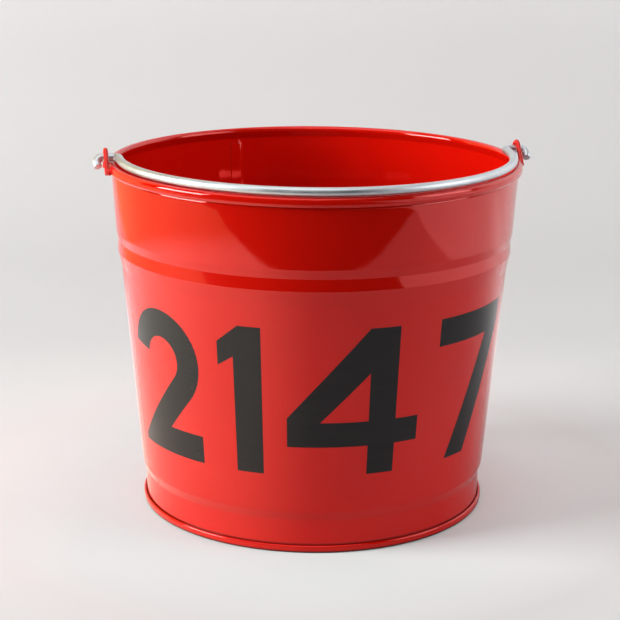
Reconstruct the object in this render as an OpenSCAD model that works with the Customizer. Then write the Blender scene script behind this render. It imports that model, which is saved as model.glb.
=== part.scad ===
// Round sheet metal bucket with a wired rim, a swaged band and a double seamed foot.
// A bail of bent rod swings in two wire ears. Millimetres, +Z up, ears on the X axis,
// origin at the middle of the plane that the foot rests on.

/* [Size] */
// Height from the resting plane to the top of the rolled rim
height = 238; // [215:1:280]
// Outside radius of the rolled rim
rim_r = 140; // [125:0.5:160]
// Outside radius of the seamed foot
foot_r = 119; // [100:0.5:124]
// Thickness of the body and base sheet
sheet = 0.6; // [0.5:0.05:0.8]

/* [Rolled rim] */
// Height of the rolled rim
roll_h = 6.8; // [6:0.1:9]
// Width of the rolled rim, inside to outside
roll_w = 5.4; // [5:0.1:5.8]
// How far the rolled rim stands out past the wall under it
roll_out = 2.6; // [2.2:0.1:2.9]
// Gap round the wire inside the roll
wire_gap = 0.1; // [0.05:0.05:0.3]

/* [Swaged band] */
// Height of the ridge of the band
ridge_z = 178; // [120:1:185]
// How far the ridge stands out of the wall
ridge_out = 1.3; // [0.6:0.1:2]
// Height of the slope that leads up to the ridge
ridge_run = 10; // [6:0.5:14]
// Height from the ridge to the groove over it
band_h = 8; // [5:0.5:12]
// How far the groove stands out of the wall
groove_out = 0.4; // [0:0.1:0.5]
// Height from the groove to the lip over it
lip_run = 5.5; // [4:0.5:9]
// How far the lip stands out of the wall
lip_out = 1; // [0.6:0.1:1.6]

/* [Side seam] */
// Width of the welded lap where the body sheet's two edges meet
lap_w = 8; // [6:0.5:14]
// How far the lap stands in from the wall
lap_in = 0.4; // [0.3:0.05:0.6]
// Place of the lap round the wall, in degrees from the right-hand ear
lap_turn = 106; // [60:1:120]

/* [Foot and base] */
// Height of the seamed foot ring
seam_h = 4.8; // [4:0.2:8]
// Gap between the folded layers of the seam
seam_gap = 0.1; // [0.05:0.01:0.12]
// Height where the neck over the foot ends
neck_z = 22; // [16:1:26]
// Height of the step out of the neck
step_h = 6; // [4:0.5:10]
// How far the wall steps out over the neck
step_out = 2.3; // [1:0.1:3.5]
// Height of the top of the base over the resting plane
base_z = 8; // [7.5:0.25:12]
// Bend radius at the edge of the base
base_bend_r = 1.2; // [1:0.1:2]
// Radius of the stiffening bead in the base
bead_r = 92; // [60:1:94]
// Height of the stiffening bead in the base
bead_h = 1.6; // [0.8:0.1:3]
// Width of the stiffening bead in the base
bead_w = 12; // [8:0.5:16]

/* [Wire ears] */
// Diameter of the ear wire
ear_d = 3.2; // [2.5:0.1:4]
// Bend radius at the top of an ear, at the middle of the wire
ear_bend_r = 4.6; // [4.2:0.1:6]
// Lean of each ear leg away from upright, in degrees
ear_splay = 42; // [30:1:45]
// Room over the bail rod inside an ear
ear_room = 0.7; // [0.6:0.1:3]
// Gap between an ear and the rolled rim that it is welded to
ear_gap = 0.05; // [0.02:0.01:0.1]

/* [Bail] */
// Diameter of the bail rod
bail_d = 5.6; // [4:0.1:6]
// Gap between the bail and the rim that it rests on
bail_gap = 0.3; // [0.2:0.05:0.6]
// Room between a bail leg and the ear beside it
leg_room = 4.2; // [2:0.1:5]
// Bend radius where a leg turns out through its ear, at the middle of the rod
elbow_r = 4.5; // [4:0.1:8]
// Bend radius of the hook outside an ear, at the middle of the rod
hook_r = 4.3; // [4:0.1:8]
// Angle that the hook turns through, in degrees
hook_turn = 105; // [60:5:130]
// How far the hook leans down out of the flat of the bail, in degrees
hook_lean = 42; // [0:1:60]
// Straight tip of the hook
tip_l = 2.5; // [1:0.5:8]

/* [Bends] */
// How much thicker a tight bend in rod or wire is than its straight runs
bend_swell = 0.1; // [0.08:0.01:0.2]
// How far a straight run reaches into the bend beside it
bend_overlap = 0.3; // [0.2:0.05:0.4]

/* [Hidden] */
$fn = 96;
enamel = [0.8, 0.08, 0.05];
zinc = [0.78, 0.79, 0.8];
bare_steel = [0.5, 0.5, 0.52];
arc_step = 15;

// Unit vector along v
function unit(v) = v / norm(v);
// Left-hand side of a line of points at point i
function side(p, i) =
    let (d = unit(p[min(i + 1, len(p) - 1)] - p[max(i - 1, 0)]))
    [-d[1], d[0]];
// Closed outline of a sheet of thickness t whose middle follows the points p
function band(p, t) = concat(
    [for (i = [0 : len(p) - 1]) p[i] + side(p, i) * t / 2],
    [for (i = [len(p) - 1 : -1 : 0]) p[i] - side(p, i) * t / 2]);
// Points on an arc about c from angle a to angle b
function arc(c, r, a, b) =
    let (n = ceil(abs(b - a) / arc_step))
    [for (i = [0 : n]) c + r * [cos(a + (b - a) * i / n), sin(a + (b - a) * i / n)]];
// Share from 0 to 1 that starts and ends level
function ease(u) = (1 - cos(180 * u)) / 2;
// Points of a run from a to b in n steps, upright at both ends
function eased(a, b, n) =
    [for (i = [0 : n]) [a[0] + (b[0] - a[0]) * ease(i / n), a[1] + (b[1] - a[1]) * i / n]];
// A line of points without its first one
function rest(p) = [for (i = [1 : len(p) - 1]) p[i]];

// Middle radii of the five layers of the double seam, from the outside in
seam_pitch = sheet + seam_gap;
seam_wall_r = foot_r - sheet / 2;
body_hook_r = seam_wall_r - seam_pitch;
base_hook_r = body_hook_r - seam_pitch;
neck_r = base_hook_r - seam_pitch;
chuck_r = neck_r - seam_pitch;
// Height of the bend of the body's hook, and of the bend over the seam
hook_bend_z = 1.5 * sheet + seam_gap + seam_pitch;
seam_bend_z = seam_h - sheet / 2 - seam_pitch;

// The straight taper of the wall, at the middle of the sheet
taper_z0 = neck_z + step_h;
taper_z1 = height - roll_h - sheet;
taper_r0 = neck_r + step_out;
taper_r1 = rim_r - roll_out - sheet / 2;
taper = (taper_r1 - taper_r0) / (taper_z1 - taper_z0);
// A point at height z that stands out of the taper
function off_taper(z, out) = [taper_r0 + taper * (z - taper_z0) + out, z];

// The rolled rim, at the middle of the sheet
roll_r = roll_w / 2 - sheet / 2;
roll_mid_r = rim_r - roll_w / 2;
roll_top_z = height - roll_w / 2;
roll_low_z = height - roll_h + roll_w / 2;
roll_foot_z = roll_low_z + 1;
curl_end = -84;

// Middle of the body sheet, from its folded hook in the seam to the end of the roll
groove_z = ridge_z + band_h;
lip_z = groove_z + lip_run;
below_ridge = off_taper(ridge_z - ridge_run, 0);
ridge = off_taper(ridge_z, ridge_out);
groove = off_taper(groove_z, groove_out);
lip = off_taper(lip_z, lip_out);
wall_path = concat(
    [[body_hook_r, seam_bend_z]],
    arc([base_hook_r, hook_bend_z], seam_pitch, 0, -180),
    eased([neck_r, neck_z], off_taper(taper_z0, 0), 6),
    eased(below_ridge, ridge, 8),
    rest(eased(ridge, groove, 8)),
    rest(eased(groove, lip, 6)),
    eased([taper_r1, taper_z1], [roll_mid_r - roll_r, roll_foot_z], 6),
    arc([roll_mid_r, roll_top_z], roll_r, 180, 0),
    arc([roll_mid_r, roll_low_z], roll_r, 0, curl_end));

// Middle of the lap, which is sunk a little into the wall so that the two are one
lap_ends = 4;
lap_sunk = 0.2;
lap_mid = sheet / 2 + lap_in - (lap_in + lap_sunk) / 2;
lap_path = [for (p = concat(
    [off_taper(taper_z0 + lap_ends, 0)],
    eased(below_ridge, ridge, 4),
    [groove, lip],
    [off_taper(taper_z1 - lap_ends, 0)]))
    p - [lap_mid, 0]];
lap_angle = atan(lap_w / ridge[0]);

// Middle of the base sheet, from the centre out to its folded hook in the seam
base_mid_z = base_z - bead_h - sheet / 2;
seam_floor_z = sheet / 2 + seam_pitch;
bead_steps = 6;
base_bead = [for (i = [-bead_steps : bead_steps])
    [bead_r + bead_w / 2 * i / bead_steps, base_mid_z + bead_h * ease(1 - abs(i) / bead_steps)]];
base_path = concat(
    [[0, base_mid_z]],
    base_bead,
    arc([chuck_r - base_bend_r, base_mid_z - base_bend_r], base_bend_r, 90, 0),
    arc([neck_r, seam_floor_z], seam_pitch, 180, 270),
    arc([body_hook_r, seam_floor_z], seam_pitch, -90, 0),
    arc([body_hook_r, seam_bend_z], seam_pitch, 0, 180),
    [[base_hook_r, hook_bend_z + seam_gap]]);

// Ears: each stands in a plane square to X, just outside the rolled rim
pivot_z = height + bail_gap + bail_d / 2;
ear_top_z = pivot_z + bail_d / 2 + ear_room + ear_d / 2;
ear_bend_z = ear_top_z - ear_bend_r;
ear_leg_y = ear_bend_r * cos(ear_splay);
ear_leg_z = ear_bend_z + ear_bend_r * sin(ear_splay);
ear_foot_z = height - roll_h + ear_d / 2 * sin(ear_splay);
ear_leg_l = (ear_leg_z - ear_foot_z) / cos(ear_splay);
// Half the width of an ear where its legs touch the roll
ear_seat_y = ear_leg_y + (ear_leg_z - roll_top_z) * tan(ear_splay);
ear_x = sqrt(rim_r * rim_r - ear_seat_y * ear_seat_y) + ear_gap + ear_d / 2;

// Bail: flat in the plane z = pivot_z at rest, with its crown to the front
leg_x = ear_x - ear_d / 2 - leg_room - bail_d / 2;
elbow_x = leg_x + elbow_r;
hook_x = max(elbow_x, ear_x + ear_d / 2 + bail_gap);
arch_overlap = atan(bend_overlap / leg_x);

// Body: one tapered sheet, folded at the foot, rolled at the top and lapped at the side
module body_wall() {
    color(enamel) {
        rotate_extrude()
            polygon(band(wall_path, sheet));
        rotate([0, 0, lap_turn - lap_angle / 2])
            rotate_extrude(angle = lap_angle)
                polygon(band(lap_path, lap_in + lap_sunk));
    }
}

// Base: one sheet, with its edge folded round the body's hook
module base_panel() {
    color(enamel)
        rotate_extrude()
            polygon(band(base_path, sheet));
}

// Wire inside the rolled rim
module rim_wire() {
    color(bare_steel)
        translate([0, 0, roll_top_z])
            rotate_extrude()
                translate([roll_mid_r, 0])
                    circle(r = roll_r - sheet / 2 - wire_gap, $fn = 32);
}

// An arc of round bar in the XY plane
module bent_bar(d, r, from, turn) {
    rotate([0, 0, from])
        rotate_extrude(angle = turn)
            translate([r, 0])
                circle(d = d, $fn = 32);
}

// A straight round bar along +Z that starts inside the bend before it
module straight_bar(d, l) {
    translate([0, 0, -bend_overlap])
        cylinder(d = d, h = l + bend_overlap, $fn = 32);
}

// One ear: a bend with two splayed legs
module ear_right() {
    color(enamel)
        translate([ear_x, 0, 0]) {
            translate([0, 0, ear_bend_z])
                rotate([90, 0, 90])
                    bent_bar(ear_d + bend_swell, ear_bend_r, ear_splay, 180 - 2 * ear_splay);
            for (hand = [-1, 1])
                translate([0, hand * ear_leg_y, ear_leg_z])
                    rotate([180 + hand * ear_splay, 0, 0])
                        straight_bar(ear_d, ear_leg_l);
        }
}

module ear_left() {
    mirror([1, 0, 0])
        ear_right();
}

// One end of the bail: the elbow, the run through the ear, the hook and its tip
module bail_end() {
    translate([elbow_x, -elbow_r, 0])
        bent_bar(bail_d + bend_swell, elbow_r, 90, 90);
    translate([elbow_x, 0, 0])
        rotate([0, 90, 0])
            straight_bar(bail_d, hook_x - elbow_x + bend_overlap);
    rotate([hook_lean, 0, 0])
        translate([hook_x, -hook_r, 0]) {
            bent_bar(bail_d + bend_swell, hook_r, 90 - hook_turn, hook_turn);
            rotate([90, 0, 90 - hook_turn])
                translate([hook_r, 0, 0])
                    straight_bar(bail_d, tip_l);
        }
}

// Bail: a half round of rod with an end through each ear
module bail() {
    color(zinc)
        translate([0, 0, pivot_z]) {
            translate([0, -elbow_r, 0])
                bent_bar(bail_d, leg_x, 180 - arch_overlap, 180 + 2 * arch_overlap);
            bail_end();
            mirror([1, 0, 0])
                bail_end();
        }
}

body_wall();
base_panel();
rim_wire();
ear_left();
ear_right();
bail();
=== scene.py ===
"""Dresses the bucket: smooth sheet, bent wire, welds, painted numbers, floor and light.

Sizes are in millimetres where they are named, and in metres in the meshes.
"""

import math

import bmesh
import bpy
from mathutils import Matrix, Vector


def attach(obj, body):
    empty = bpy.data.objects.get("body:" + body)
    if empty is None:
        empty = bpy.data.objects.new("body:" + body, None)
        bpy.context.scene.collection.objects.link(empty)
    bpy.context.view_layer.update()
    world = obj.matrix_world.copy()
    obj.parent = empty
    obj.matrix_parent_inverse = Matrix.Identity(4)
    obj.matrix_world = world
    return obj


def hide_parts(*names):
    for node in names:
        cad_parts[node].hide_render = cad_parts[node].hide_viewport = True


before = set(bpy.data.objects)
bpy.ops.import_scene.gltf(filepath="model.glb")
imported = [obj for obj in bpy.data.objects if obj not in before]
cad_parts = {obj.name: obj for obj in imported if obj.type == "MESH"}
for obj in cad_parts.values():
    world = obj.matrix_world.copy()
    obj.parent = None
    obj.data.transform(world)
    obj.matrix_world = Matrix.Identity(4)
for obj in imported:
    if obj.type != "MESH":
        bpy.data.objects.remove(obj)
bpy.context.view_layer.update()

MM = 0.001

# Overall sizes, as in the part's source
HEIGHT = 238
RIM_R = 140
FOOT_R = 119
SHEET = 0.6

# Rolled rim
ROLL_H = 6.8
ROLL_W = 5.4
ROLL_OUT = 2.6

# Swaged band
RIDGE_Z = 178
RIDGE_OUT = 1.3
RIDGE_RUN = 10
BAND_H = 8
GROOVE_OUT = 0.4
LIP_RUN = 5.5
LIP_OUT = 1.0

# Foot and base
SEAM_H = 4.8
SEAM_GAP = 0.1
NECK_Z = 22
STEP_H = 6
STEP_OUT = 2.3
BASE_Z = 8
BASE_BEND_R = 1.2
BEAD_R = 92
BEAD_H = 1.6
BEAD_W = 12

# Wire ears
EAR_D = 3.2
EAR_BEND_R = 4.6
EAR_SPLAY = math.radians(42)
EAR_ROOM = 0.7
EAR_GAP = 0.05

# Bail
BAIL_D = 5.6
BAIL_GAP = 0.3
LEG_ROOM = 4.2
ELBOW_R = 4.5
HOOK_R = 4.3
HOOK_TURN = math.radians(105)
HOOK_LEAN = math.radians(42)
TIP_L = 2.5

# Side seam
LAP_W = 8
LAP_IN = 0.4
LAP_TURN = 106
LAP_ENDS = 4

SEAM_PITCH = SHEET + SEAM_GAP
SEAM_WALL_R = FOOT_R - SHEET / 2
BODY_HOOK_R = SEAM_WALL_R - SEAM_PITCH
BASE_HOOK_R = BODY_HOOK_R - SEAM_PITCH
NECK_R = BASE_HOOK_R - SEAM_PITCH
CHUCK_R = NECK_R - SEAM_PITCH
HOOK_BEND_Z = 1.5 * SHEET + SEAM_GAP + SEAM_PITCH
SEAM_BEND_Z = SEAM_H - SHEET / 2 - SEAM_PITCH

TAPER_Z0 = NECK_Z + STEP_H
TAPER_Z1 = HEIGHT - ROLL_H - SHEET
TAPER_R0 = NECK_R + STEP_OUT
TAPER_R1 = RIM_R - ROLL_OUT - SHEET / 2
TAPER = (TAPER_R1 - TAPER_R0) / (TAPER_Z1 - TAPER_Z0)

ROLL_R = ROLL_W / 2 - SHEET / 2
ROLL_MID_R = RIM_R - ROLL_W / 2
ROLL_TOP_Z = HEIGHT - ROLL_W / 2
ROLL_LOW_Z = HEIGHT - ROLL_H + ROLL_W / 2

PIVOT_Z = HEIGHT + BAIL_GAP + BAIL_D / 2
EAR_TOP_Z = PIVOT_Z + BAIL_D / 2 + EAR_ROOM + EAR_D / 2
EAR_BEND_Z = EAR_TOP_Z - EAR_BEND_R
EAR_LEG_Y = EAR_BEND_R * math.cos(EAR_SPLAY)
EAR_LEG_Z = EAR_BEND_Z + EAR_BEND_R * math.sin(EAR_SPLAY)
EAR_FOOT_Z = HEIGHT - ROLL_H + EAR_D / 2 * math.sin(EAR_SPLAY)
EAR_FOOT_Y = EAR_LEG_Y + (EAR_LEG_Z - EAR_FOOT_Z) * math.tan(EAR_SPLAY)
EAR_SEAT_Y = EAR_LEG_Y + (EAR_LEG_Z - ROLL_TOP_Z) * math.tan(EAR_SPLAY)
EAR_X = math.sqrt(RIM_R**2 - EAR_SEAT_Y**2) + EAR_GAP + EAR_D / 2

LEG_X = EAR_X - EAR_D / 2 - LEG_ROOM - BAIL_D / 2
ELBOW_X = LEG_X + ELBOW_R
HOOK_X = max(ELBOW_X, EAR_X + EAR_D / 2 + BAIL_GAP)


# Shading


class Term:
    """A value from a node, which works in Python sums."""

    def __init__(self, paint, socket):
        self.paint = paint
        self.socket = socket

    def _sum(self, operation, first, second):
        return self.paint.make("ShaderNodeMath", {"operation": operation}, first, second)

    def __add__(self, other):
        return self._sum("ADD", self, other)

    __radd__ = __add__

    def __sub__(self, other):
        return self._sum("SUBTRACT", self, other)

    def __rsub__(self, other):
        return self._sum("SUBTRACT", other, self)

    def __mul__(self, other):
        return self._sum("MULTIPLY", self, other)

    __rmul__ = __mul__

    def __truediv__(self, other):
        return self._sum("DIVIDE", self, other)

    def __rtruediv__(self, other):
        return self._sum("DIVIDE", other, self)

    def __pow__(self, other):
        return self._sum("POWER", self, other)

    def __gt__(self, other):
        return self._sum("GREATER_THAN", self, other)

    def __lt__(self, other):
        return self._sum("LESS_THAN", self, other)

    def clamp(self):
        return self.paint.make("ShaderNodeClamp", {}, self)


class Paint:
    """A material that is built node by node."""

    def __init__(self, name, **fixed):
        self.material = bpy.data.materials.new(name)
        self.material.use_nodes = True
        self.tree = self.material.node_tree
        self.shader = self.tree.nodes["Principled BSDF"]
        self.output = self.tree.nodes["Material Output"]
        for socket, value in fixed.items():
            self.shader.inputs[socket.replace("_", " ")].default_value = value
        self.place = self.make("ShaderNodeTexCoord", {}, output="Object")

    def make(self, kind, settings, *sockets, output=0, **named):
        """Adds a node of that kind: its settings first, then the values or links of its sockets."""
        node = self.tree.nodes.new(kind)
        for setting, value in settings.items():
            if setting == "stops":
                ramp = node.color_ramp.elements
                while len(ramp) < len(value):
                    ramp.new(0.5)
                for stop, (position, colour) in zip(ramp, value):
                    stop.position = position
                    stop.color = colour
            else:
                setattr(node, setting, value)
        for key, value in [*enumerate(sockets), *named.items()]:
            socket = node.inputs[key.replace("_", " ") if isinstance(key, str) else key]
            if isinstance(value, Term):
                self.tree.links.new(value.socket, socket)
            else:
                socket.default_value = value
        return Term(self, node.outputs[output])

    def noise(self, scale, detail=3.0, rough=0.5, place=None):
        return self.make(
            "ShaderNodeTexNoise", {}, Vector=place or self.place, Scale=scale, Detail=detail, Roughness=rough
        )

    def stretched(self, x, y, z):
        """Object coordinates, scaled along each axis."""
        return self.make("ShaderNodeMapping", {}, Vector=self.place, Scale=(x, y, z))

    def between(self, value, low, high):
        """0 below low, 1 above high, and even in between."""
        return self.make("ShaderNodeMapRange", {}, value, low, high, 0.0, 1.0)

    def blend(self, share, first, second):
        """A colour from first to second."""
        mix = self.tree.nodes.new("ShaderNodeMix")
        mix.data_type = "RGBA"
        for socket, value in ((0, share), (6, first), (7, second)):
            if isinstance(value, Term):
                self.tree.links.new(value.socket, mix.inputs[socket])
            else:
                mix.inputs[socket].default_value = value
        return Term(self, mix.outputs[2])

    def parts(self, vector):
        node = self.tree.nodes.new("ShaderNodeSeparateXYZ")
        self.tree.links.new(vector.socket, node.inputs[0])
        return [Term(self, socket) for socket in node.outputs]

    def feed(self, socket, term):
        self.tree.links.new(term.socket, self.shader.inputs[socket])

    def bump(self, height, depth, strength=1.0):
        """Raises the surface by height, which runs from 0 to 1, times depth in metres."""
        self.feed(
            "Normal", self.make("ShaderNodeBump", {}, Strength=strength, Distance=depth, Height=height)
        )


def rgb(red, green, blue):
    """A colour as it is seen on a screen, from 0 to 255, as the linear one that nodes use."""

    def linear(level):
        level /= 255
        return level / 12.92 if level <= 0.04045 else ((level + 0.055) / 1.055) ** 2.4

    return (linear(red), linear(green), linear(blue), 1.0)


def red_enamel():
    """Gloss paint, sprayed on: even colour, a slight flow ripple and dust specks, with painted shade in the
    crevice above the foot seam and a painted contact shadow along the bottom edge.
    """
    paint = Paint("red_enamel", IOR=1.95, Specular_Tint=(1.0, 0.28, 0.27, 1.0))
    sway = paint.noise(9.0, 1.0)
    ripple = paint.noise(60.0, 2.0)
    fine = paint.noise(420.0, 2.0)
    cloud = paint.noise(14.0, 3.0)
    speck = paint.between(paint.noise(900.0, 1.0), 0.79, 0.83)
    x, y, z = paint.parts(paint.place)
    radius = (x * x + y * y) ** 0.5
    # Painted shade: the crevice above the foot seam is darkened.
    crevice_shade = (1 - paint.between(z, 0.0054, 0.0062)) * (1 - paint.between(radius, 0.1170, 0.1178))
    # Painted contact shadow: the bottom edge, where the bucket stands on the floor, is darkened.
    under = 1 - paint.between(z, 0.0011, 0.0016)
    colour = paint.blend(paint.between(cloud, 0.3, 0.7), (0.53, 0.0044, 0.0011, 1), (0.58, 0.0054, 0.0015, 1))
    colour = paint.blend(speck * 0.5, colour, rgb(120, 10, 10))
    # Both the painted shade and the painted shadow go towards near-black red.
    colour = paint.blend((crevice_shade * 0.65 + under * 0.9).clamp(), colour, rgb(40, 8, 6))
    paint.feed("Base Color", colour)
    paint.feed("Roughness", 0.03 + paint.between(fine, 0.35, 0.75) * 0.025 + speck * 0.2)
    paint.bump(sway * 1.5 + ripple * 0.3 + fine * 0.01 + speck * 0.05, 0.00012)
    return paint.material


def black_enamel():
    """The numbers: thinner black paint, a little less glossy, with a faint pull of the brush."""
    paint = Paint("black_enamel", IOR=1.34)
    pull = paint.noise(30.0, 3.0, place=paint.stretched(1, 1, 12))
    fine = paint.noise(600.0, 2.0)
    paint.feed("Base Color", paint.blend(pull, rgb(25, 21, 22), rgb(34, 29, 29)))
    paint.feed("Roughness", 0.1 + paint.between(fine, 0.3, 0.7) * 0.06)
    paint.bump(paint.noise(9.0, 1.0) * 1.5 + paint.noise(60.0, 2.0) * 0.3 + pull * 0.06, 0.00012)
    return paint.material


def zinc_plate():
    """Bright zinc on drawn rod: pale and soft, with fine lines, dull clouds and a few dark scuffs."""
    paint = Paint("zinc_plate", Metallic=1.0)
    lines = paint.noise(90.0, 3.0, place=paint.stretched(1, 1, 30))
    cloud = paint.noise(60.0, 4.0)
    scuff = paint.between(paint.noise(210.0, 3.0), 0.68, 0.76)
    colour = paint.blend(paint.between(cloud, 0.3, 0.7), rgb(190, 195, 200), rgb(203, 207, 211))
    colour = paint.blend(scuff * 0.4, colour, rgb(170, 173, 176))
    paint.feed("Base Color", colour)
    paint.feed("Roughness", 0.4 + paint.between(cloud, 0.3, 0.7) * 0.1 + scuff * 0.1)
    paint.bump(lines * 0.4 + scuff * 0.1, 0.00005)
    return paint.material


def bare_wire():
    """The wire shut inside the rolled rim."""
    paint = Paint("bare_wire", Metallic=1.0)
    stain = paint.noise(80.0, 4.0)
    paint.feed("Base Color", paint.blend(stain, rgb(150, 148, 146), rgb(96, 88, 82)))
    paint.feed("Roughness", 0.4 + stain * 0.2)
    return paint.material


# Shapes


def arc(r, z, radius, start, end, step=9):
    """Points on an arc about (r, z), from one angle to another, in degrees."""
    count = max(2, math.ceil(abs(end - start) / step))
    angles = [math.radians(start + (end - start) * i / count) for i in range(count + 1)]
    return [(r + radius * math.cos(a), z + radius * math.sin(a)) for a in angles]


def rounded(corners, steps=7):
    """A line through corners (r, z, radius), with an arc of that radius at each inner corner."""
    line = [Vector(corners[0][:2])]
    for before, corner, after in zip(corners, corners[1:], corners[2:]):
        here = Vector(corner[:2])
        back = (Vector(before[:2]) - here).normalized()
        on = (Vector(after[:2]) - here).normalized()
        half = back.angle(on) / 2
        if corner[2] == 0 or half > math.radians(89.9):
            line.append(here)
            continue
        reach = corner[2] / math.tan(half)
        centre = here + (back + on).normalized() * corner[2] / math.sin(half)
        start = here + back * reach - centre
        end = here + on * reach - centre
        turn = start.angle_signed(end)
        for i in range(steps + 1):
            line.append(centre + Matrix.Rotation(-turn * i / steps, 2) @ start)
    line.append(Vector(corners[-1][:2]))
    return [tuple(point) for point in line]


def sheet_outline(path, thick):
    """The closed outline of a sheet of that thickness, whose middle follows the path."""
    points = [Vector(point) for point in path]
    sides = []
    for i in range(len(points)):
        along = (points[min(i + 1, len(points) - 1)] - points[max(i - 1, 0)]).normalized()
        sides.append(Vector((-along.y, along.x)) * thick / 2)
    left = [p + s for p, s in zip(points, sides)]
    right = [p - s for p, s in zip(points, sides)]
    return [tuple(p) for p in left + right[::-1]]


def piece(name, mesh, material, body):
    """A finished piece: shaded, painted and carried by its body."""
    thing = bpy.data.objects.new(name, mesh)
    bpy.context.scene.collection.objects.link(thing)
    mesh.materials.clear()
    mesh.materials.append(material)
    mesh.shade_smooth()
    mesh.set_sharp_from_angle(angle=math.radians(38))
    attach(thing, body)
    return thing


def revolve(name, outline, angles, inset=None):
    """A ring, or a disc where the outline meets the axis, turned from a closed outline."""
    shape = bmesh.new()
    around = len(angles)
    rings = []
    for i, (r, z) in enumerate(outline):
        if r < 1e-6:
            rings.append([shape.verts.new((0, 0, z * MM))] * around)
            continue
        radii = [(r - inset(i, z, a) if inset else r) * MM for a in angles]
        rings.append([
            shape.verts.new((q * math.cos(a), q * math.sin(a), z * MM))
            for q, a in zip(radii, angles)
        ])
    for ring, after in zip(rings, rings[1:] + rings[:1]):
        for i in range(around):
            j = (i + 1) % around
            corners = list(dict.fromkeys((ring[i], ring[j], after[j], after[i])))
            if len(corners) > 2:
                shape.faces.new(corners)
    bmesh.ops.recalc_face_normals(shape, faces=shape.faces)
    mesh = bpy.data.meshes.new(name)
    shape.to_mesh(mesh)
    shape.free()
    return mesh


def off_taper(z, out, radius):
    """A corner at height z that stands out of the wall's taper."""
    return (TAPER_R0 + TAPER * (z - TAPER_Z0) + out, z, radius)


def off_lip(z):
    """A point on the straight run from the lip above the groove to the foot of the rolled rim."""
    low = RIDGE_Z + BAND_H + LIP_RUN
    return off_taper(z, LIP_OUT * (TAPER_Z1 - z) / (TAPER_Z1 - low), 0)


def wall_path():
    """Middle of the body sheet, from its hook in the seam to the end of the rolled rim."""
    wall = rounded(
        [
            (NECK_R, HOOK_BEND_Z, 0),
            (NECK_R, NECK_Z, 7),
            off_taper(TAPER_Z0, 0, 7),
            off_taper(TAPER_Z0 + LAP_ENDS, 0, 0),
            off_taper(TAPER_Z0 + LAP_ENDS + LAP_IN, 0, 0),
            off_taper(RIDGE_Z - RIDGE_RUN, 0, 25),
            off_taper(RIDGE_Z, RIDGE_OUT, 2.2),
            off_taper(RIDGE_Z + BAND_H, GROOVE_OUT, 2.2),
            off_taper(RIDGE_Z + BAND_H + LIP_RUN, LIP_OUT, 8),
            off_lip(TAPER_Z1 - LAP_ENDS - LAP_IN),
            off_lip(TAPER_Z1 - LAP_ENDS),
            (TAPER_R1, TAPER_Z1, 2.5),
            (ROLL_MID_R - ROLL_R, ROLL_LOW_Z + 1, 2),
            (ROLL_MID_R - ROLL_R, ROLL_TOP_Z, 0),
        ]
    )
    return (
        [(BODY_HOOK_R, SEAM_BEND_Z)]
        + arc(BASE_HOOK_R, HOOK_BEND_Z, SEAM_PITCH, 0, -180, 20)[:-1]
        + wall[:-1]
        + arc(ROLL_MID_R, ROLL_TOP_Z, ROLL_R, 180, 0)
        + arc(ROLL_MID_R, ROLL_LOW_Z, ROLL_R, 0, -84)
    )


def base_path():
    """Middle of the base sheet, from the centre to its hook in the seam."""
    level = BASE_Z - BEAD_H - SHEET / 2
    floor = SHEET / 2 + SEAM_PITCH
    bead = [
        (BEAD_R + BEAD_W / 2 * u, level + BEAD_H * (1 + math.cos(math.pi * u)) / 2)
        for u in [i / 10 for i in range(-10, 11)]
    ]
    return (
        [(0, level), (40, level)]
        + bead
        + arc(CHUCK_R - BASE_BEND_R, level - BASE_BEND_R, BASE_BEND_R, 90, 0)
        + arc(NECK_R, floor, SEAM_PITCH, 180, 270, 15)
        + arc(BODY_HOOK_R, floor, SEAM_PITCH, -90, 0, 15)
        + arc(BODY_HOOK_R, SEAM_BEND_Z, SEAM_PITCH, 0, 180, 15)
        + [(BASE_HOOK_R, HOOK_BEND_Z + SEAM_GAP)]
    )


def wire_tree():
    """Geometry Nodes: round wire along a line of points, thinner at its ends where the line says so."""
    tree = bpy.data.node_groups.new("bent_wire", "GeometryNodeTree")
    sockets = tree.interface
    sockets.new_socket("Line", in_out="INPUT", socket_type="NodeSocketGeometry")
    sockets.new_socket("Wire radius", in_out="INPUT", socket_type="NodeSocketFloat")
    sockets.new_socket("Sides", in_out="INPUT", socket_type="NodeSocketInt")
    sockets.new_socket("Finish", in_out="INPUT", socket_type="NodeSocketMaterial")
    sockets.new_socket("Wire", in_out="OUTPUT", socket_type="NodeSocketGeometry")
    nodes, links = tree.nodes, tree.links
    given = nodes.new("NodeGroupInput")
    curve = nodes.new("GeometryNodeMeshToCurve")
    section = nodes.new("GeometryNodeCurvePrimitiveCircle")
    share = nodes.new("GeometryNodeInputNamedAttribute")
    share.data_type = "FLOAT"
    share.inputs["Name"].default_value = "girth"
    skin = nodes.new("GeometryNodeCurveToMesh")
    skin.inputs["Fill Caps"].default_value = True
    real = nodes.new("GeometryNodeRealizeInstances")
    finish = nodes.new("GeometryNodeSetMaterial")
    out = nodes.new("NodeGroupOutput")
    links.new(given.outputs["Line"], curve.inputs["Mesh"])
    links.new(given.outputs["Wire radius"], section.inputs["Radius"])
    links.new(given.outputs["Sides"], section.inputs["Resolution"])
    links.new(curve.outputs["Curve"], skin.inputs["Curve"])
    links.new(section.outputs["Curve"], skin.inputs["Profile Curve"])
    links.new(share.outputs["Attribute"], skin.inputs["Scale"])
    links.new(skin.outputs["Mesh"], real.inputs["Geometry"])
    links.new(real.outputs["Geometry"], finish.inputs["Geometry"])
    links.new(given.outputs["Finish"], finish.inputs["Material"])
    links.new(finish.outputs["Geometry"], out.inputs["Wire"])
    return tree


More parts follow.
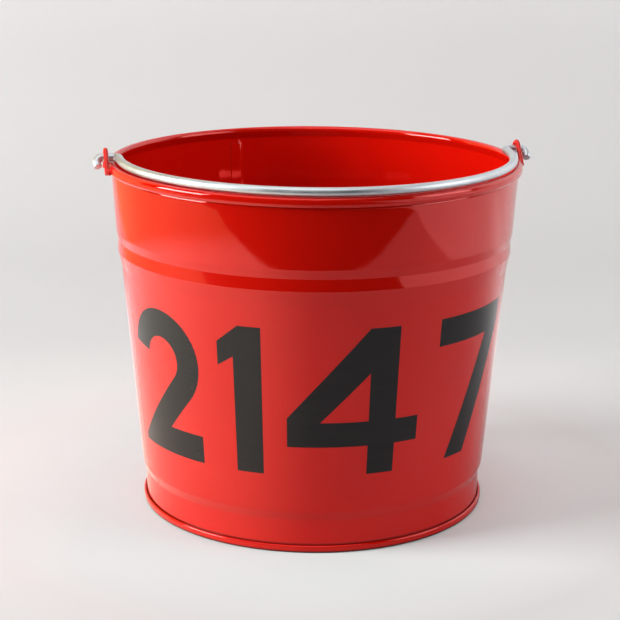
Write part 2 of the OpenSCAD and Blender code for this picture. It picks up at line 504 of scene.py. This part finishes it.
def bent_wire(tree, name, line, radius, sides, material, girth=None):
    """Runs the wire tree along a line of points and returns the plain mesh."""
    guide = bpy.data.meshes.new(name + "_line")
    guide.from_pydata(
        [[c * MM for c in point] for point in line], [(i, i + 1) for i in range(len(line) - 1)], []
    )
    shares = guide.attributes.new("girth", "FLOAT", "POINT")
    shares.data.foreach_set("value", girth or [1.0] * len(line))
    carrier = bpy.data.objects.new(name + "_line", guide)
    bpy.context.scene.collection.objects.link(carrier)
    step = carrier.modifiers.new("wire", "NODES")
    step.node_group = tree
    values = {"Wire radius": radius * MM, "Sides": sides, "Finish": material}
    for item in tree.interface.items_tree:
        if item.in_out == "INPUT" and item.name in values:
            step[item.identifier] = values[item.name]
    ready = carrier.evaluated_get(bpy.context.evaluated_depsgraph_get())
    mesh = bpy.data.meshes.new_from_object(ready)
    mesh.name = name
    bpy.data.objects.remove(carrier)
    shape = bmesh.new()
    shape.from_mesh(mesh)
    bmesh.ops.remove_doubles(shape, verts=shape.verts, dist=1e-7)
    bmesh.ops.recalc_face_normals(shape, faces=shape.faces)
    shape.to_mesh(mesh)
    shape.free()
    return mesh


def bend(centre, radius, start, end, step=6):
    """Points round a bend about a centre, from one angle to another, in radians."""
    count = max(2, math.ceil(abs(end - start) / math.radians(step)))
    angles = [start + (end - start) * i / count for i in range(count + 1)]
    return [(centre[0] + radius * math.cos(a), centre[1] + radius * math.sin(a)) for a in angles]


def bail_line():
    """Middle of the rod, from the tip of the left hook round the front to the right one."""
    flat = bend((0, -ELBOW_R), LEG_X, -math.pi / 2, 0, 1.5)
    flat += bend((ELBOW_X, -ELBOW_R), ELBOW_R, math.pi, math.pi / 2)[1:]
    right = [(x, y, PIVOT_Z) for x, y in flat]
    last = math.pi / 2 - HOOK_TURN
    hook = bend((HOOK_X, -HOOK_R), HOOK_R, math.pi / 2, last)
    aim = (math.sin(last), -math.cos(last))
    tip = hook[-1]
    hook += [(tip[0] + aim[0] * s, tip[1] + aim[1] * s) for s in (1, TIP_L - 0.45, TIP_L - 0.12, TIP_L)]
    right += [(x, y * math.cos(HOOK_LEAN), PIVOT_Z + y * math.sin(HOOK_LEAN)) for x, y in hook]
    left = [(-x, y, z) for x, y, z in right[:0:-1]]
    girth = [1.0] * (len(left) + len(right))
    for i, share in enumerate((0.78, 0.95)):
        girth[i] = girth[-1 - i] = share
    return left + right, girth


def ear_line():
    """Middle of an ear's wire, from its front foot over the top to its back foot."""
    over = bend((0, EAR_BEND_Z), EAR_BEND_R, EAR_SPLAY, math.pi - EAR_SPLAY, 10)
    feet = [(EAR_FOOT_Y, EAR_FOOT_Z), (-EAR_FOOT_Y, EAR_FOOT_Z)]
    return [(EAR_X, y, z) for y, z in feet[:1] + over + feet[1:]]


def add_ball(shape, centre, size):
    """A lump of weld at a point, with a half size along each axis."""
    place = Matrix.Translation([c * MM for c in centre]) @ Matrix.Diagonal([s * MM for s in size] + [1])
    bmesh.ops.create_icosphere(shape, subdivisions=3, radius=1.0, matrix=place)


def ear_mesh(tree, name, hand, material):
    """An ear with its welds, melted together under the paint."""
    line = [(hand * x, hand * y, z) for x, y, z in ear_line()]
    shape = bmesh.new()
    shape.from_mesh(bent_wire(tree, name, line, EAR_D / 2, 24, material))
    for side in (-1, 1):
        for share, size in ((0.25, 1.5), (0.5, 1.9), (0.78, 1.7)):
            y = EAR_SEAT_Y + (EAR_FOOT_Y - EAR_SEAT_Y) * share
            z = ROLL_TOP_Z + (EAR_FOOT_Z - ROLL_TOP_Z) * share
            x = math.sqrt(RIM_R**2 - y**2) + 0.35
            add_ball(shape, (hand * x, side * y, z), (size * 0.8, size, size))
    rough = bpy.data.meshes.new(name + "_rough")
    shape.to_mesh(rough)
    shape.free()
    lump = bpy.data.objects.new(name + "_rough", rough)
    bpy.context.scene.collection.objects.link(lump)
    melt = lump.modifiers.new("melt", "REMESH")
    melt.mode = "VOXEL"
    melt.voxel_size = 0.28 * MM
    flow = lump.modifiers.new("flow", "SMOOTH")
    flow.factor = 0.5
    flow.iterations = 5
    ready = lump.evaluated_get(bpy.context.evaluated_depsgraph_get())
    mesh = bpy.data.meshes.new_from_object(ready)
    mesh.name = name
    bpy.data.objects.remove(lump)
    return mesh


# Painted numbers

NUMBER_LOW = 54
NUMBER_HIGH = 153
NUMBER_LIFT = 0.05
STROKE = 18.6


def digit_one(w, h):
    flag = 0.62 * w
    return [[(w - STROKE, 0), (w, 0), (w, h), (w - STROKE * 0.8, h), (w - STROKE - flag * 0.55, h - 12),
             (w - STROKE - flag * 0.55, h - 28), (w - STROKE, h - 21)]]


def digit_two(w, h):
    outer = w / 2
    inner = outer - STROKE
    angles = [math.radians(170 - i * 212 / 30) for i in range(31)]
    last = angles[-1]
    aim = (math.sin(last), -math.cos(last))
    bow = [(outer + outer * math.cos(a), h - outer + outer * math.sin(a)) for a in angles]
    back = [(outer + inner * math.cos(a), h - outer + inner * math.sin(a)) for a in reversed(angles)]
    drop = (bow[-1][1] - STROKE) / -aim[1]
    side = back[0][0] / -aim[0]
    return [
        bow
        + [(bow[-1][0] + aim[0] * drop, STROKE), (w, STROKE), (w, 0), (0, 0), (0, back[0][1] + aim[1] * side)]
        + back
    ]


def digit_four(w, h):
    post = w * 0.6
    low = h * 0.2
    return [
        [(post, 0), (post + STROKE, 0), (post + STROKE, low), (w, low), (w, low + STROKE * 0.9),
         (post + STROKE, low + STROKE * 0.9), (post + STROKE, h), (post - 1, h),
         (0, low + STROKE * 1.05), (0, low), (post, low)],
        [(post, low + STROKE * 0.9), (post, h - 30), (STROKE + 2.5, low + STROKE * 0.9)],
    ]


def digit_seven(w, h):
    return [[(0, h), (0, h - STROKE), (w - STROKE - 3, h - STROKE), (w * 0.2, 0), (w * 0.2 + STROKE + 2, 0),
             (w, h - STROKE * 0.75), (w, h)]]


STRIPS = 48


def number_mesh(name, loops, mid_angle, width):
    """A flat figure cut into strips and laid on the tapered wall."""
    curve = bpy.data.curves.new(name, "CURVE")
    curve.dimensions = "2D"
    curve.fill_mode = "BOTH"
    for loop in loops:
        line = curve.splines.new("POLY")
        line.points.add(len(loop) - 1)
        for point, (x, y) in zip(line.points, loop):
            point.co = (x, y, 0, 1)
        line.use_cyclic_u = True
    flat = bpy.data.objects.new(name, curve)
    bpy.context.scene.collection.objects.link(flat)
    mesh = bpy.data.meshes.new_from_object(flat)
    bpy.data.objects.remove(flat)
    shape = bmesh.new()
    shape.from_mesh(mesh)
    bmesh.ops.remove_doubles(shape, verts=shape.verts, dist=1e-4)
    for i in range(1, STRIPS):
        everything = shape.verts[:] + shape.edges[:] + shape.faces[:]
        cut = (width * i / STRIPS, 0, 0)
        bmesh.ops.bisect_plane(shape, geom=everything, plane_co=cut, plane_no=(1, 0, 0))
    mid_r = TAPER_R0 + TAPER * ((NUMBER_LOW + NUMBER_HIGH) / 2 - TAPER_Z0) + SHEET / 2
    for vertex in shape.verts:
        z = NUMBER_LOW + vertex.co.y
        r = TAPER_R0 + TAPER * (z - TAPER_Z0) + SHEET / 2 * math.sqrt(1 + TAPER**2) + NUMBER_LIFT
        angle = math.radians(mid_angle) + (vertex.co.x - width / 2) / mid_r
        vertex.co = (r * MM * math.cos(angle), r * MM * math.sin(angle), z * MM)
    for face in shape.faces:
        face.normal_update()
        middle = face.calc_center_median()
        if face.normal.dot(Vector((middle.x, middle.y, 0))) < 0:
            face.normal_flip()
    shape.to_mesh(mesh)
    shape.free()
    return mesh


# The object

enamel = red_enamel()
wire = wire_tree()

wall_line = wall_path()
ROUND = [2 * math.pi * i / 240 for i in range(240)]
LAP_HALF = LAP_W / 2 / off_taper(RIDGE_Z, 0, 0)[0]
lap_edges = [
    math.radians(LAP_TURN) + hand * half
    for hand in (-1, 1)
    for half in (LAP_HALF, LAP_HALF - 0.003)
]


def lap_inset(i, z, angle):
    """How far the welded lap stands in from the wall at this point, on the inner side of the sheet."""
    low = TAPER_Z0 + LAP_ENDS + LAP_IN - 0.1
    high = TAPER_Z1 - LAP_ENDS - LAP_IN + 0.1
    inner = i < len(wall_line)
    on_lap = abs(angle - math.radians(LAP_TURN)) < LAP_HALF - 0.002
    return LAP_IN if inner and on_lap and low < z < high else 0


wall = piece(
    "wall_skin",
    revolve("wall_skin", sheet_outline(wall_line, SHEET), sorted(ROUND + lap_edges), lap_inset),
    enamel, "bucket",
)
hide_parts("body_wall")

base = piece(
    "base_skin",
    revolve("base_skin", sheet_outline(base_path(), SHEET), ROUND),
    enamel, "bucket",
)
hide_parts("base_panel")

for hand, node in ((1, "ear_right"), (-1, "ear_left")):
    ear = piece(node + "_skin", ear_mesh(wire, node + "_skin", hand, enamel), enamel, "bucket")
    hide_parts(node)

zinc = zinc_plate()
line, girth = bail_line()
bail = piece(
    "bail_skin",
    bent_wire(wire, "bail_skin", line, BAIL_D / 2, 32, zinc, girth),
    zinc, "bail",
)
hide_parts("bail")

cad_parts["rim_wire"].data.materials.clear()
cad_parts["rim_wire"].data.materials.append(bare_wire())

# Where the figures' own angles start from: the side that the camera sees, in degrees
CAMERA_SIDE = -100
black = black_enamel()
FIGURES = (
    ("number_two", digit_two, -50.5, 68),
    ("number_one", digit_one, -22.0, 32),
    ("number_four", digit_four, 12.5, 88),
    ("number_seven", digit_seven, 54.8, 71),
)
for name, figure, angle, width in FIGURES:
    loops = figure(width, NUMBER_HIGH - NUMBER_LOW)
    piece(name, number_mesh(name, loops, CAMERA_SIDE + angle, width), black, "bucket")

# Floor, light and camera

TURN = math.radians(10)
AHEAD = Vector((math.sin(TURN), math.cos(TURN), 0))
ACROSS = Vector((math.cos(TURN), -math.sin(TURN), 0))


def place(across, ahead, up):
    """A point across, ahead and up as the camera sees them, in metres from the bucket's foot."""
    return ACROSS * across + AHEAD * ahead + Vector((0, 0, up))


def board_finish():
    """Pale matt board, clear from behind, with painted light and shade: graded tones on the floor and wall, a
    painted tint round the foot, and painted reflections and a painted glowing patch that only glossy rays
    see. In reflections and other rays than the camera's it is painted dark beyond a line in front of the
    bucket, where a table would end.
    """
    paint = Paint("pale_board", Roughness=0.8)
    paint.shader.inputs["Specular IOR Level"].default_value = 0.15
    paint.shader.inputs["Emission Strength"].default_value = 1.0
    cloud = paint.between(paint.noise(3.0, 4.0), 0.3, 0.7)
    x, y, z = paint.parts(paint.place)
    ahead = x * AHEAD.x + y * AHEAD.y
    across = x * ACROSS.x + y * ACROSS.y
    beyond = paint.between(across - (-0.4 - ahead).clamp() * 0.15, 0.645, 0.655)
    # Painted dark for all rays but the camera's, beyond a line in front of the bucket, where a table would
    # end; it shows in reflections.
    painted_dark_past_edge = paint.between(across * across * EDGE_BEND - ahead, EDGE, EDGE + 0.01) * (1 - beyond)
    seen = paint.make("ShaderNodeLightPath", {}, output="Is Camera Ray")
    reach = (across * across + ahead * ahead) ** 0.5
    # Painted light and shade: the floor is darker towards the front and at the foot of the sweep, and the
    # wall is lighter higher up.
    colour = paint.blend(paint.between(ahead, -0.5, 0.0), rgb(192, 190, 189), rgb(215, 215, 214))
    colour = paint.blend(paint.between(ahead, 0.1, 0.5), colour, rgb(190, 190, 189))
    colour = paint.blend(paint.between(z, 0.05, 0.6), colour, rgb(238, 238, 239))
    # Painted light round the foot: a cool tint cancels the red light bounced from the bucket, and the right
    # side is lighter to soften the bucket's shadow.
    near = paint.blend(paint.between(across, -0.15, 0.15), (0.57, 0.71, 0.71, 1), (0.85, 0.92, 0.92, 1))
    colour = paint.blend(1 - paint.between(reach, 0.12, 0.24), colour, near)
    # Painted shade on the left of the board, where the key lamp falls.
    colour = paint.blend((1 - paint.between(across, -0.3, 0.3)) * 0.16, colour, rgb(120, 120, 120))
    colour = paint.blend(cloud * 0.04, colour, rgb(150, 149, 147))
    # Painted reflections: in glossy rays the floor shows these tones instead of its own colour. They are warm
    # and bright to the left, dark to the right, lighter behind the bucket, bright beyond the right-hand line
    # and dull yellow far to the left.
    glossy = paint.make("ShaderNodeLightPath", {}, output="Is Glossy Ray")
    bearing = across / reach
    reflected_floor_tone = paint.blend(paint.between(bearing, -0.5, 0.0), (0.95, 0.93, 0.8, 1), (0.45, 0.45, 0.46, 1))
    reflected_floor_tone = paint.blend(paint.between(ahead, 0.0, 0.3), reflected_floor_tone, (0.85, 0.85, 0.85, 1))
    far_left = paint.between(reach, 0.67, 0.75) * (across < 0)
    reflected_floor_tone = paint.blend(beyond, reflected_floor_tone, (0.95, 0.95, 0.95, 1))
    colour = paint.blend(glossy * (1 - paint.between(z, 0.0, 0.02)), colour, reflected_floor_tone)
    colour = paint.blend(glossy * far_left, colour, (0.42, 0.36, 0.16, 1))
    paint.feed("Base Color", paint.blend(painted_dark_past_edge * (1 - seen), colour, rgb(20, 20, 20)))
    # Painted reflection: a grey glowing patch on the floor behind and to the right of the bucket, which only
    # glossy rays see.
    reflected_glow_patch = glossy * paint.between(across, 0.3, 0.6) * paint.between(ahead, 0.25, 0.5)
    glow = paint.blend(reflected_glow_patch, (0, 0, 0, 1), (0.45, 0.45, 0.45, 1))
    far_off = seen * paint.between(reach, 1.1, 3.2)
    paint.feed("Emission Color", paint.blend(far_off, glow, (0.6, 0.58, 0.57, 1)))
    behind = paint.make("ShaderNodeNewGeometry", {}, output="Backfacing")
    paint.feed("Alpha", 1 - behind * seen)
    return paint.material


def board_mesh():
    """A floor that sweeps up into a wall behind the bucket."""
    sweep = arc(WALL_AT - SWEEP, SWEEP, SWEEP, -90, 0)
    line = [(-4.0, 0.0), (0.0, 0.0), *sweep, (WALL_AT, 4.0)]
    shape = bmesh.new()
    sides = [[shape.verts.new(place(across, ahead, up)) for ahead, up in line] for across in (-5.0, 5.0)]
    for i in range(len(line) - 1):
        shape.faces.new((sides[0][i], sides[1][i], sides[1][i + 1], sides[0][i + 1]))
    mesh = bpy.data.meshes.new("pale_board")
    shape.to_mesh(mesh)
    shape.free()
    mesh.shade_smooth()
    return mesh


EDGE = 0.585
EDGE_BEND = 0.2
WALL_AT = 0.62
SWEEP = 0.25

board = bpy.data.objects.new("pale_board", board_mesh())
bpy.context.scene.collection.objects.link(board)
board.data.materials.append(board_finish())


def lamp(name, size, power, at, aim, tint=(1, 1, 1)):
    """A soft box of that size that stands at one point and faces another."""
    light = bpy.data.lights.new(name, "AREA")
    light.shape = "RECTANGLE"
    light.size, light.size_y = size
    light.energy = power
    light.color = tint
    stand = bpy.data.objects.new(name, light)
    stand.location = at
    stand.rotation_euler = (Vector(aim) - Vector(at)).to_track_quat("-Z", "Y").to_euler()
    bpy.context.scene.collection.objects.link(stand)


lamp("key_left", (1.2, 1.0), 78, place(-2.08, -0.52, 0.82), place(0, 0, 0.15), (1.0, 0.995, 0.985))
lamp("top_soft", (2.2, 1.8), 24, place(-0.35, -0.45, 2.1), place(0, 0.1, 0.1))
lamp("fill_right", (1.4, 1.4), 21, place(2.2, -0.5, 1.3), place(0, 0, 0.15))
lamp("low_right", (1.2, 0.5), 4, place(1.7, -0.6, 0.42), place(0, 0, 0.1))

world = bpy.data.worlds.new("studio")
bpy.context.scene.world = world
world.use_nodes = True
sky = world.node_tree.nodes["Background"]
sky.inputs["Color"].default_value = rgb(229, 225, 224)
light_path = world.node_tree.nodes.new("ShaderNodeLightPath")
strength = world.node_tree.nodes.new("ShaderNodeMapRange")
strength.inputs["To Min"].default_value = 0.02
strength.inputs["To Max"].default_value = 0.95
world.node_tree.links.new(light_path.outputs["Is Camera Ray"], strength.inputs["Value"])
world.node_tree.links.new(strength.outputs["Result"], sky.inputs["Strength"])

PITCH, YAW, ROLL = 0.2612, -0.0022, 0.0085
camera_data = bpy.data.cameras.new("camera")
camera_data.lens = 100.7
camera_data.sensor_width = 36
camera_data.clip_start = 0.01
camera = bpy.data.objects.new("camera", camera_data)
level_view = AHEAD * math.cos(YAW) + ACROSS * math.sin(YAW)
level_right = ACROSS * math.cos(YAW) - AHEAD * math.sin(YAW)
view = level_view * math.cos(PITCH) - Vector((0, 0, math.sin(PITCH)))
view_up = level_view * math.sin(PITCH) + Vector((0, 0, math.cos(PITCH)))
right = level_right * math.cos(ROLL) + view_up * math.sin(ROLL)
up = view_up * math.cos(ROLL) - level_right * math.sin(ROLL)
turned = Matrix((right, up, -view)).transposed().to_4x4()
camera.matrix_world = Matrix.Translation(place(0, -1.162, 0.4417)) @ turned
bpy.context.scene.collection.objects.link(camera)
bpy.context.scene.camera = camera
bpy.context.scene.view_settings.view_transform = "Standard"
